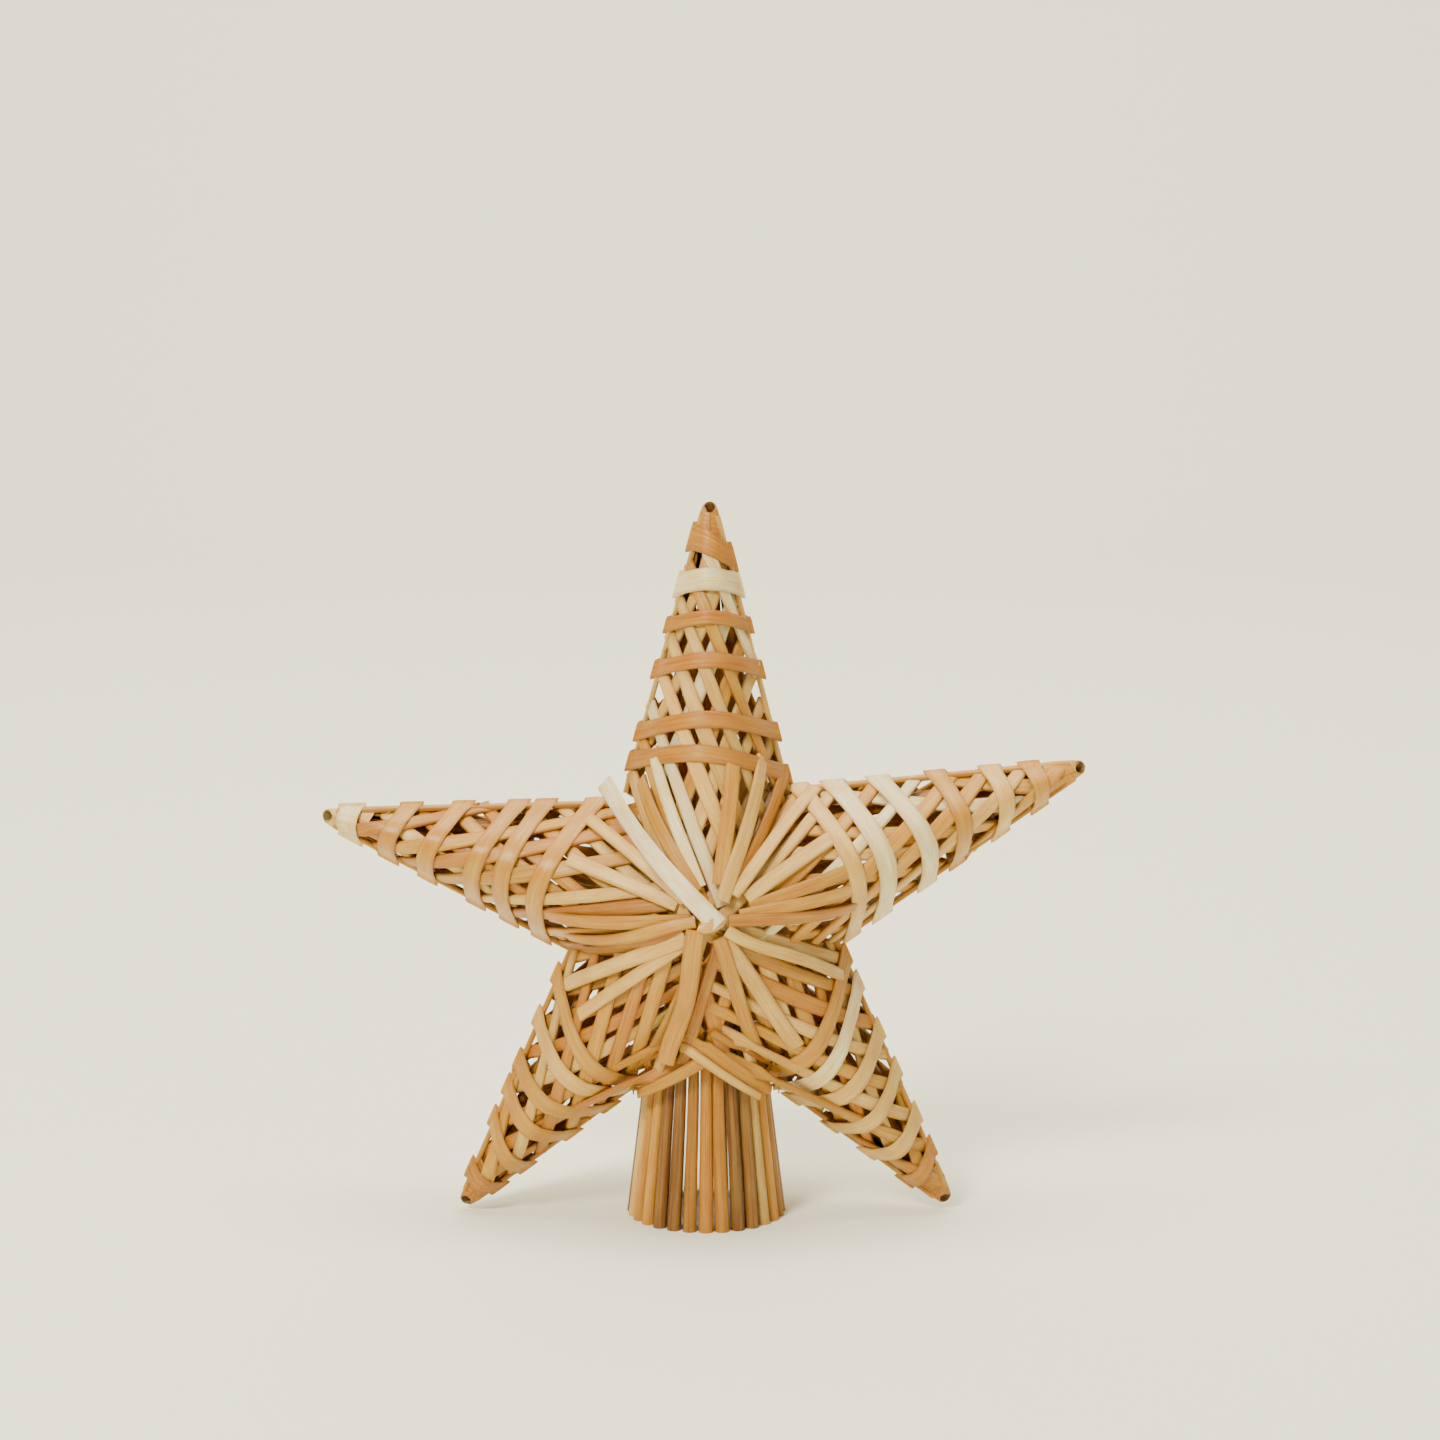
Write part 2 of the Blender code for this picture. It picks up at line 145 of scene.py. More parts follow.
def straw_finish(name, roughness, coat, relief):
    """Satin straw: fine fibres, pale streaks, brown flecks and darker edges on each stalk's colour."""
    material = bpy.data.materials.new(name)
    material.use_nodes = True
    tree = material.node_tree
    shader = tree.nodes["Principled BSDF"]
    stalk = tree.nodes.new("ShaderNodeAttribute")
    stalk.attribute_name = "straw_colour"
    fibres = stretched_noise(tree, *FIBRES)
    streaks = stretched_noise(tree, *STREAKS)
    clouds = stretched_noise(tree, *CLOUDS)
    flecks = stretched_noise(tree, *FLECKS)
    colour = stalk.outputs["Color"]
    shaded = mix_colours(tree, "MULTIPLY", 1.0, colour, BETWEEN_FIBRES)
    colour = mix_colours(tree, "MIX", fibres, shaded, colour)
    bright = mix_colours(tree, "SCREEN", STREAK_SHARE, colour, STREAK_LIGHT)
    colour = mix_colours(tree, "MIX", streaks, colour, bright)
    warm = mix_colours(tree, "MULTIPLY", 1.0, colour, CLOUD_WARMTH)
    colour = mix_colours(tree, "MIX", clouds, warm, colour)
    spotted = mix_colours(tree, "MULTIPLY", FLECK_SHARE, colour, FLECK_BROWN)
    colour = mix_colours(tree, "MIX", flecks, colour, spotted)
    # Darker towards the stalk's edges, by the share held in the colour's alpha
    darker_edges = mix_colours(tree, "MULTIPLY", EDGE_DARKENING_SHARE, colour, EDGE_DARKENING_COLOUR)
    colour = mix_colours(tree, "MIX", stalk.outputs["Alpha"], colour, darker_edges)
    tree.links.new(colour, shader.inputs["Base Color"])
    sheen = tree.nodes.new("ShaderNodeMapRange")
    sheen.inputs["To Min"].default_value = roughness + ROUGHER
    sheen.inputs["To Max"].default_value = roughness - GLOSSIER
    tree.links.new(fibres, sheen.inputs["Value"])
    tree.links.new(sheen.outputs["Result"], shader.inputs["Roughness"])
    ribs = tree.nodes.new("ShaderNodeMath")
    ribs.operation = "ADD"
    tree.links.new(fibres, ribs.inputs[0])
    tree.links.new(streaks, ribs.inputs[1])
    bump = tree.nodes.new("ShaderNodeBump")
    bump.inputs["Strength"].default_value = RELIEF_STRENGTH
    bump.inputs["Distance"].default_value = relief
    tree.links.new(ribs.outputs["Value"], bump.inputs["Height"])
    tree.links.new(bump.outputs["Normal"], shader.inputs["Normal"])
    shader.inputs["Coat Weight"].default_value = coat
    shader.inputs["Coat Roughness"].default_value = COAT_ROUGHNESS
    shader.inputs["Specular IOR Level"].default_value = SPECULAR_LEVEL
    return material


def new_straws():
    """An empty mesh in the making, with a colour for each stalk and UVs in millimetres along it."""
    bm = bmesh.new()
    bm.verts.layers.float_color.new("straw_colour")
    bm.loops.layers.uv.new("along_straw")
    return bm


def varied(tone, spread=0.10):
    """The colour of one stalk: its tone, a little lighter or darker, warmer or cooler."""
    level = 1.0 + chance.uniform(-spread, spread)
    warmth = chance.uniform(-spread, spread) / 2
    red, green, blue = TONES[tone]
    green *= 1.0 - warmth / 2
    blue *= 1.0 - warmth
    return (min(1.0, red * level), min(1.0, green * level), blue * level)


def round_outline(width, sides, squash=1.0):
    """Outline of a round stalk: each point's place across, its rise and how far it is darkened as an edge."""
    turns = [math.tau * index / sides for index in range(sides)]
    return [(math.cos(turn) * width / 2, math.sin(turn) * width / 2 * squash, 0.0) for turn in turns]


PRESSED_SIDES = 14
EDGE_ROUNDING = 0.75
FACE_ROUNDING = 0.6
CHANNEL_DEPTH = 0.28
CHANNEL_WIDTH = 0.28
EDGE_DARKENING_SHARPNESS = 6


def pressed_outline(width, thick):
    """Outline of a straw pressed flat: round edges and a shallow channel along its face."""
    made = []
    for index in range(PRESSED_SIDES):
        turn = math.tau * index / PRESSED_SIDES
        across = math.copysign(abs(math.cos(turn)) ** EDGE_ROUNDING, math.cos(turn))
        rise = math.copysign(abs(math.sin(turn)) ** FACE_ROUNDING, math.sin(turn))
        channel = 1.0 - CHANNEL_DEPTH * math.exp(-(across / CHANNEL_WIDTH) ** 2)
        # The third value darkens the colour towards the edges
        made.append((across * width / 2, rise * channel * thick / 2, abs(across) ** EDGE_DARKENING_SHARPNESS))
    return made


# The rings of a hollow end, from its floor out: width of the bore there and painted shade on the straw's
# colour, darkest at the floor
BORE_FLOOR = (0.72, 0.25)
BORE_WALL = (0.80, 0.55)
BORE_LIP = (0.84, 0.95)
GRAIN_LENGTH = 900.0
CREASE_ANGLE = math.radians(55.0)


def add_straw(bm, frames, outline, colour, tip_scale=1.0, bore=0.0):
    """Sweep an outline through its frames. The first end is hollow to the depth of the bore, with painted
    shade inside.
    """
    tint = bm.verts.layers.float_color["straw_colour"]
    uv = bm.loops.layers.uv["along_straw"]
    sides = len(outline)
    width = max(point[0] for point in outline) * 2
    girth = math.pi * width / sides / MM
    start = chance.uniform(0.0, GRAIN_LENGTH)

    def ring_at(centre, side, up, scale, shade):
        ring = []
        for across, rise, edge in outline:
            vert = bm.verts.new(centre + side * (across * scale) + up * (rise * scale))
            vert[tint] = (colour[0] * shade, colour[1] * shade, colour[2] * shade, edge)
            ring.append(vert)
        return ring

    rings = []
    places = []
    if bore:
        centre, side, up = frames[0]
        inward = (frames[1][0] - centre).normalized()
        # Painted shade: the colour darkens towards the floor of the hollow end
        rings.append(ring_at(centre + inward * bore, side, up, *BORE_FLOOR))
        rings.append(ring_at(centre + inward * MM, side, up, *BORE_WALL))
        rings.append(ring_at(centre, side, up, *BORE_LIP))
        places = [start + bore / MM, start + 1.0, start]
    travelled = 0.0
    for index, (centre, side, up) in enumerate(frames):
        if index:
            travelled += (centre - frames[index - 1][0]).length
        scale = 1.0 + (tip_scale - 1.0) * index / (len(frames) - 1)
        rings.append(ring_at(centre, side, up, scale, 1.0))
        places.append(start + travelled / MM)
    for ring, after, low, high in zip(rings, rings[1:], places, places[1:]):
        for index in range(sides):
            following = (index + 1) % sides
            face = bm.faces.new((ring[index], ring[following], after[following], after[index]))
            corners = ((index, low), (index + 1, low), (index + 1, high), (index, high))
            for loop, (step, along) in zip(face.loops, corners):
                loop[uv].uv = (step * girth, along)
    bm.faces.new(rings[0][::-1])
    bm.faces.new(rings[-1])


def piece_of(bm, name, material, slot, *nodes):
    """Close a mesh in the making into a piece that rides on the part and stands for CAD nodes."""
    bmesh.ops.recalc_face_normals(bm, faces=bm.faces)
    mesh = bpy.data.meshes.new(name)
    bm.to_mesh(mesh)
    bm.free()
    mesh.shade_smooth()
    mesh.set_sharp_from_angle(angle=CREASE_ANGLE)
    mesh.materials.append(material)
    piece = bpy.data.objects.new(name, mesh)
    bpy.context.scene.collection.objects.link(piece)
    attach(piece, "root")
    if nodes:
        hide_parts(*nodes)
    return piece


ROUND_STRAW = straw_finish("round_straw", roughness=0.36, coat=0.12, relief=0.00022)
RING_TONES = ("orange", "golden", "brown", "orange", "brown", "cream", "orange", "brown", "golden",
              "brown")
TONE_STEP = 3

for index in range(RING_COUNT):
    turn = math.tau * index / RING_COUNT
    outward = Vector((math.cos(turn), math.sin(turn), 0.0))
    sideways = Vector((-math.sin(turn), math.cos(turn), 0.0))
    low = outward * (RING_RIM_RADIUS - STALK_RIM_WIDTH / 2)
    high = outward * (RING_TOP_RADIUS - STALK_TOP_WIDTH / 2) + Vector((0.0, 0.0, RING_HEIGHT))
    bow = chance.uniform(-STALK_BOW, STALK_BOW)
    stalk_frames = []
    for step in range(STALK_RINGS):
        share = step / (STALK_RINGS - 1)
        centre = low.lerp(high, share) + sideways * (bow * math.sin(math.pi * share))
        stalk_frames.append((centre, sideways, outward))
    straws = new_straws()
    squash = chance.uniform(STALK_FLATTEST, 1.0)
    width = STALK_RIM_WIDTH * chance.uniform(STALK_THINNEST, STALK_THICKEST)
    outline = round_outline(width, STALK_SIDES, squash)
    tone = RING_TONES[index * TONE_STEP % len(RING_TONES)]
    add_straw(straws, stalk_frames, outline, varied(tone, STALK_SPREAD), STALK_TOP_WIDTH / STALK_RIM_WIDTH,
              STALK_BORE)
    piece_of(straws, "upright_straw_%02d" % (index + 1), ROUND_STRAW, "straw_base",
             "base_straw_%02d" % (index + 1))

# Crossing straws of the arms
# Pressed straws run from each edge of an arm across its face towards the star's middle, in two
# crossing layers, front and back, over round straws that stiffen the arm and run along its edges.

FRONT = 1
BACK = -1
MIDDLE_ABOVE_RING = 0.0425
STAR_HEIGHT = RING_HEIGHT + MIDDLE_ABOVE_RING
TIP_HALF_WIDTH = 0.0013
TAPER = 0.265
DEPTH_SHARE = 1.08
WEAVE_THICK = 0.0012
WEAVE_WIDTH = 0.0050
STRAW_BODY = 0.0018
LAYER_DROP = 0.0012
LINING_DROP = 0.0100
LINING_WIDTH = 0.0036
LINING_SIDES = 10
LINING_START = 0.012
LINING_END = 0.80
LINING_SPREAD = 0.15
LINING_LANES = (-0.57, -0.19, 0.19, 0.57)
RING_ROOM = 0.0022
WEAVE_COUNT = 9
WEAVE_STEPS = 14
FIRST_START = 0.055
LAST_START = 0.76
START_SCATTER = 0.008
WEAVE_SLANT = 0.42
SLANT_SCATTER = 0.02
WEAVE_WAVE = 0.10 * MM
WAVE_TURN = 2.4
NARROWEST = 0.85
WIDEST = 1.12
WEAVE_SPREAD = 0.14
TONE_SHIFT = 2
VALLEY_ANGLE = math.radians(36.0)
BORDER_SLANT = math.tan(VALLEY_ANGLE)
EDGE_STRAW_START = 0.0045
EDGE_STRAW_END = 0.72
EDGE_STRAW_WIDTH = 0.0040
EDGE_STRAW_THICK = 0.0020

# Each arm's heading in degrees, its length from the star's middle, and its straws' tones in turn
ARMS = {
    "top": (89.4, 0.1354, ("cream", "cream", "ivory", "golden", "cream")),
    "right": (20.4, 0.1348, ("golden", "ivory", "golden", "cream", "golden")),
    "lower_right": (-51.6, 0.1321, ("golden", "cream", "orange", "golden", "cream")),
    "lower_left": (-128.4, 0.1330, ("golden", "orange", "golden", "cream", "orange")),
    "left": (166.6, 0.1316, ("golden", "cream", "orange", "golden", "orange")),
}


def heading_vector(degrees):
    """Direction in the star's plane, turned from the right towards the top."""
    turn = math.radians(degrees)
    return Vector((math.cos(turn), 0.0, math.sin(turn)))


def arm_point(arm, from_tip, across, depth=0.0):
    """A place on an arm, by its distance from the tip, to the arm's left and out of the plane."""
    heading, length, _ = ARMS[arm]
    place = heading_vector(heading) * (length - from_tip) + heading_vector(heading + 90.0) * across
    return place + Vector((0.0, -depth, STAR_HEIGHT))


def half_width(from_tip):
    """Half the width of an arm at a distance from its tip."""
    return TIP_HALF_WIDTH + TAPER * from_tip


def ring_radius(height):
    """Outer radius of the ring of upright straws at a height above its rim."""
    return RING_RIM_RADIUS + (RING_TOP_RADIUS - RING_RIM_RADIUS) * height / RING_HEIGHT


MIDDLE_DEPTH = DEPTH_SHARE * half_width(sum(arm[1] for arm in ARMS.values()) / len(ARMS))


def drape_depth(x, z):
    """Depth of the skin where it is drawn over the ring of upright straws."""
    if z > STAR_HEIGHT:
        return 0.0
    if z <= RING_HEIGHT:
        reach = ring_radius(z) + RING_ROOM
    else:
        share = (z - RING_HEIGHT) / (STAR_HEIGHT - RING_HEIGHT)
        low_reach = RING_TOP_RADIUS + RING_ROOM
        reach = low_reach + (MIDDLE_DEPTH - low_reach) * share
    return math.sqrt(max(0.0, reach * reach - x * x))


def skin_depth(arm, from_tip, across):
    """How far an arm's face lies out of the star's plane: an arch, or what drapes over the ring."""
    half = half_width(from_tip)
    arch = DEPTH_SHARE * half * max(0.0, 1.0 - (across / half) ** 2)
    place = arm_point(arm, from_tip, across)
    return max(arch, drape_depth(place.x, place.z))


def arm_depth_at(arm):
    """The arm's skin as a depth for each place of the middle plane."""
    heading, length, _ = ARMS[arm]
    out = heading_vector(heading)
    left = heading_vector(heading + 90.0)

    def depth_at(x, z):
        offset = Vector((x, 0.0, z - STAR_HEIGHT))
        return skin_depth(arm, length - offset.dot(out), offset.dot(left))
    return depth_at


def slope_normal(depth_at, x, z, face):
    """Outward direction of the skin at a place, no steeper than its arch at an edge."""
    step = MM / 2
    limit = 2 * DEPTH_SHARE
    slope_x = (depth_at(x + step, z) - depth_at(x - step, z)) / (2 * step)
    slope_z = (depth_at(x, z + step) - depth_at(x, z - step)) / (2 * step)
    slope_x = max(-limit, min(limit, slope_x))
    slope_z = max(-limit, min(limit, slope_z))
    return Vector((-slope_x, -face, -slope_z)).normalized()


def taut(depths):
    """A stiff straw bridges every dip between the places that carry it."""
    lifted = list(depths)
    for middle in range(1, len(depths) - 1):
        for first in range(middle):
            for last in range(middle + 1, len(depths)):
                share = (middle - first) / (last - first)
                lifted[middle] = max(lifted[middle], depths[first] + (depths[last] - depths[first]) * share)
    return lifted


def frames_along(centres, normals):
    """Frames for a sweep: each centre with its direction across and its direction up."""
    last = len(centres) - 1
    made = []
    for index, (centre, normal) in enumerate(zip(centres, normals)):
        run = centres[min(index + 1, last)] - centres[max(index - 1, 0)]
        side = normal.cross(run).normalized()
        made.append((centre, side, run.cross(side).normalized()))
    return made


def eased(normals, passes):
    """Normals that turn gently, so that a stiff straw doesn't twist where two slopes meet."""
    for _ in range(passes):
        wider = [normals[0]] + normals + [normals[-1]]
        normals = [(wider[index] + wider[index + 1] * 2 + wider[index + 2]).normalized()
                   for index in range(len(normals))]
    return normals


def laid_frames(start, end, steps, depth_at, face, rise, wave=0.0, ease=0):
    """Frames of a straight straw laid on the skin between two places of the middle plane."""
    places = [start.lerp(end, step / steps) for step in range(steps + 1)]
    depths = taut([depth_at(place.x, place.z) for place in places])
    normals = eased([slope_normal(depth_at, place.x, place.z, face) for place in places], ease)
    phase = chance.uniform(0.0, math.tau)
    centres = []
    for index, (place, depth, normal) in enumerate(zip(places, depths, normals)):
        lift = rise + wave * math.sin(phase + index * WAVE_TURN)
        centres.append(Vector((place.x, -face * depth, place.z)) + normal * lift)
    return frames_along(centres, normals)


def add_edge_straw(bm, arm, hand, face, tone):
    """Half of the straw inside the folds along one edge, up to the ring where it runs down beside it."""
    side = heading_vector(ARMS[arm][0] + 90.0) * hand
    frames = []
    for step in range(WEAVE_STEPS + 1):
        far = EDGE_STRAW_START + (EDGE_STRAW_END * ARMS[arm][1] - EDGE_STRAW_START) * step / WEAVE_STEPS
        centre = arm_point(arm, far, hand * half_width(far), face * EDGE_STRAW_WIDTH / 4)
        if centre.z < RING_HEIGHT and abs(centre.x) < ring_radius(centre.z) + EDGE_STRAW_THICK:
            break
        frames.append((centre, Vector((0.0, 1.0, 0.0)), side))
    add_straw(bm, frames, pressed_outline(EDGE_STRAW_WIDTH / 2, EDGE_STRAW_THICK), varied(tone))


def add_lining(bm, arm, face):
    """The round straws inside one face of an arm, as far as they clear the ring."""
    length = ARMS[arm][1]
    for lane in LINING_LANES:
        centres = []
        for step in range(WEAVE_STEPS):
            far = LINING_START + (length * LINING_END - LINING_START) * step / (WEAVE_STEPS - 1)
            across = lane * half_width(far)
            depth = max(0.0, skin_depth(arm, far, across) - LINING_DROP)
            place = arm_point(arm, far, across, face * depth)
            room = ring_radius(min(place.z, RING_HEIGHT)) + LINING_WIDTH
            if place.z < RING_HEIGHT + LINING_WIDTH and math.hypot(place.x, place.y) < room:
                break
            centres.append(place)
        if len(centres) > 2:
            outline = round_outline(LINING_WIDTH, LINING_SIDES)
            lined = frames_along(centres, [Vector((0.0, -face, 0.0))] * len(centres))
            # Real round straws inside the arm; their darker orange tone is partly painted shade, so the gaps
            # between the crossing straws read dark
            add_straw(bm, lined, outline, varied("orange", LINING_SPREAD))


def add_weave(bm, arm, face):
    """One face of an arm: its two crossing layers and the straws along its edges."""
    _, length, tones = ARMS[arm]
    depth_at = arm_depth_at(arm)
    for hand, rise in ((1, 0.0), (-1, -LAYER_DROP)):
        for index in range(WEAVE_COUNT):
            share = index / (WEAVE_COUNT - 1)
            start_share = FIRST_START + (LAST_START - FIRST_START) * share
            far = (start_share + chance.uniform(-START_SCATTER, START_SCATTER)) * length
            start = arm_point(arm, far, hand * half_width(far))
            slant = WEAVE_SLANT + chance.uniform(-SLANT_SCATTER, SLANT_SCATTER)
            left_over = slant * (length - far) - half_width(far)
            along = max(0.0, left_over) / (slant + BORDER_SLANT)
            along = max(along, length - far - 2 * half_width(far) / (slant - TAPER))
            end = arm_point(arm, length - along, -hand * (left_over - slant * along))
            frames = laid_frames(start, end, WEAVE_STEPS, depth_at, face, rise, WEAVE_WAVE)
            width = WEAVE_WIDTH * chance.uniform(NARROWEST, WIDEST)
            tone = tones[(index + (TONE_SHIFT if hand > 0 else 0)) % len(tones)]
            add_straw(bm, frames, pressed_outline(width, STRAW_BODY), varied(tone, WEAVE_SPREAD))
        add_edge_straw(bm, arm, hand, face, tones[0])


FLAT_STRAW = straw_finish("pressed_straw", roughness=0.36, coat=0.12, relief=0.00016)
for arm in ARMS:
    for face, side_name in ((FRONT, "front"), (BACK, "back")):
        straws = new_straws()
        add_lining(straws, arm, face)
        add_weave(straws, arm, face)
        piece_of(straws, "%s_arm_%s_straws" % (arm, side_name), FLAT_STRAW, "straw_weave",
                 "%s_arm_%s_weave" % (arm, side_name))

# Wrapped bands of the arms
# A long pressed straw is wound round each arm over the crossing straws, and folded sharply where
# it turns over an edge. Each band bows a little towards the tip and widens at its folds.

BAND_THICK = 0.0007
BAND_ROOM = 0.0005
BAND_RISE = WEAVE_THICK / 2 + BAND_THICK / 2 + BAND_ROOM
BAND_FROWN = 0.90
FOLD_CORNER = 0.0008
FOLD_FLARE = 0.28
FLARE_REACH = 8
BAND_STEPS = 16
BAND_SPREAD = 0.05
FRONT_RIPPLE = 0.16 * MM
BACK_RIPPLE = 0.10 * MM
RIPPLE_TURN = 2.1
SHARE_STEP = 0.01
CLEAR_OF_RING = 3 * MM
LOWER_ARM_SKIPPED = 2

# Each front band: where its left and right ends cross the edges, in mm from the tip, with its
# width and tone
BANDS = {
    "top": ((11.6, 18.2, 8.4, "orange"), (27.5, 27.3, 7.6, "ivory"), (41.1, 40.8, 4.8, "orange"),
            (56.1, 55.7, 5.4, "orange"), (77.1, 76.6, 5.6, "orange"), (87.0, 91.0, 5.8, "orange")),
    "right": ((17.4, 19.1, 6.0, "golden"), (30.1, 34.4, 6.2, "cream"), (47.7, 51.2, 6.0, "golden"),
              (66.2, 63.3, 6.6, "ivory"), (80.8, 81.0, 6.8, "ivory"), (92.0, 93.0, 6.0, "cream")),
    "lower_right": ((19.0, 14.8, 6.2, "orange"), (31.3, 30.7, 6.4, "cream"), (48.0, 45.7, 6.0, "cream"),
                    (62.1, 61.5, 6.4, "cream"), (79.5, 68.5, 6.2, "ivory"), (89.5, 77.8, 6.4, "golden")),
    "lower_left": ((12.3, 11.9, 6.4, "orange"), (23.8, 30.9, 6.2, "golden"), (42.6, 42.5, 6.2, "golden"),
                   (58.1, 51.8, 6.2, "golden"), (69.0, 67.6, 6.0, "cream"), (73.6, 83.2, 6.0, "golden")),
    "left": ((11.0, 9.0, 7.4, "ivory"), (24.8, 28.3, 6.4, "golden"), (39.0, 45.1, 6.2, "golden"),
             (56.7, 63.0, 6.2, "golden"), (68.9, 71.8, 6.2, "golden"), (80.7, 88.0, 6.4, "golden")),
}


def beside_ring(arm, hand):
    """Whether an arm's edge runs down beside the ring of upright straws."""
    heading = ARMS[arm][0]
    out = heading_vector(heading)
    side = heading_vector(heading + 90.0) * hand
    return out.z < 0.0 and side.x * out.x < 0.0


def fold_place(arm, from_tip, hand):
    """Where a band turns over an edge, drawn in where the ring of upright straws stands."""
    across = half_width(from_tip) + BAND_RISE + FOLD_CORNER
    while beside_ring(arm, hand) and across > 0.0:
        place = arm_point(arm, from_tip + CLEAR_OF_RING, hand * across)
        if abs(place.x) > ring_radius(place.z) + BAND_THICK:
            break
        across -= BAND_THICK / 4
    return arm_point(arm, from_tip, hand * across)


def band_place(arm, from_tip, share, face):
    """A place of the surface that the bands lie on, by its share of the half width."""
    half = half_width(from_tip)
    place = arm_point(arm, from_tip, share * (half + BAND_RISE))
    arch = (DEPTH_SHARE * half + BAND_RISE) * (1.0 - share * share)
    draped = drape_depth(place.x, place.z)
    if draped > 0.0:
        arch = max(arch, draped + BAND_RISE)
    return Vector((place.x, -face * arch, place.z))


def band_frames(arm, start, end, hand, face, ripple):
    """Frames of one pass over a face, from its fold at one edge to its fold at the other."""
    apex = TIP_HALF_WIDTH / TAPER
    frames = []
    for step in range(BAND_STEPS + 1):
        share = -math.cos(math.pi * step / BAND_STEPS)
        along = start + (end - start) * (share + 1.0) / 2
        frown = BAND_FROWN + (1.0 - BAND_FROWN) * share * share
        far = (along + apex) * frown - apex
        flare = 1.0 + FOLD_FLARE * abs(share) ** FLARE_REACH
        if step in (0, BAND_STEPS):
            side = share * hand
            here = fold_place(arm, far, side)
            across = (fold_place(arm, far + MM, side) - here).normalized()
            outward = heading_vector(ARMS[arm][0] + 90.0) * side
            frames.append((here, across * flare, outward))
            continue
        here = band_place(arm, far, share * hand, face)
        across = (band_place(arm, far + MM, share * hand, face) - here).normalized()
        over = band_place(arm, far, share * hand + SHARE_STEP, face) - here
        up = across.cross(over).normalized()
        if up.y * face > 0.0:
            up = -up
        lift = ripple * math.sin(step * RIPPLE_TURN + start / MM)
        frames.append((here + up * lift, across * flare, up))
    return frames


BAND_STRAW = straw_finish("folded_straw", roughness=0.32, coat=0.18, relief=0.00014)
for arm, bands in BANDS.items():
    straws = new_straws()
    hand = -1 if beside_ring(arm, 1) else 1
    ordered = list(reversed(bands))
    for index, (left, right, width, tone) in enumerate(ordered):
        colour = varied(tone, BAND_SPREAD)
        start, end = (left, right) if hand < 0 else (right, left)
        frames = band_frames(arm, start * MM, end * MM, hand, FRONT, FRONT_RIPPLE)
        if arm.startswith("lower") and index == 0:
            frames = frames[LOWER_ARM_SKIPPED:]
        if index + 1 < len(ordered):
            following = ordered[index + 1][0 if hand < 0 else 1]
            frames += band_frames(arm, end * MM, following * MM, -hand, BACK, BACK_RIPPLE)[1:-1]
        add_straw(straws, frames, pressed_outline(width * MM, BAND_THICK), colour)
    piece_of(straws, arm + "_arm_bands", BAND_STRAW, "straw_band", arm + "_arm_wrap")

# Rolled tips
# A short piece of straw is rolled round the ends of the crossing straws at each tip, and stays
# open at its end.

CAP_LENGTH = 0.0150
CAP_SLANT = 0.0020
CAP_MOUTH = 0.0034
CAP_TIP_HALF_WIDTH = 0.0024
CAP_ROOT_HALF_WIDTH = 0.0056
ROLL_TURNS = 1.25
ROLL_WALL = 0.00055
ROLL_SIDES = 40
ROLL_RINGS = 9
ROLL_SWELL = 0.8
ROLL_OVERLAP = 1.15
ROLL_CORNER = 0.10
CORNER_SHARPNESS = 5
ROLL_SQUASH = 0.85
# Painted shade on the inner face of each rolled tip
INSIDE_PAINTED_SHADE = 0.30
ROLL_GRAIN_ACROSS = 0.7
ROLL_GRAIN_ALONG = 1.5
CAP_TONES = {"top": "orange", "right": "golden", "lower_right": "orange", "lower_left": "orange",
             "left": "cream"}


def add_roll_layer(bm, arm, colour, inset, shade):
    """The outer or inner face of a rolled tip, as rings of vertices from its slanted mouth; a shade below 1
    is painted shade.
    """
    tint = bm.verts.layers.float_color["straw_colour"]
    rings = []
    for row in range(ROLL_RINGS):
        share = row / (ROLL_RINGS - 1)
        half = CAP_TIP_HALF_WIDTH + (CAP_ROOT_HALF_WIDTH - CAP_TIP_HALF_WIDTH) * share ** ROLL_SWELL
        ring = []
        for step in range(ROLL_SIDES + 1):
            turn = math.tau * ROLL_TURNS * step / ROLL_SIDES
            mouth = CAP_MOUTH * (1.0 + math.sin(turn)) / 2
            far = mouth + (CAP_LENGTH - CAP_SLANT * math.cos(turn) - mouth) * share
            reach = half - inset - ROLL_WALL * ROLL_OVERLAP * (1.0 - step / ROLL_SIDES)
            corner = 1.0 + ROLL_CORNER * abs(math.cos(turn)) ** CORNER_SHARPNESS
            place = arm_point(arm, far, math.cos(turn) * reach * corner, math.sin(turn) * reach * ROLL_SQUASH)
            vert = bm.verts.new(place)
            vert[tint] = (colour[0] * shade, colour[1] * shade, colour[2] * shade, 0.0)
            ring.append(vert)
        rings.append(ring)
    return rings


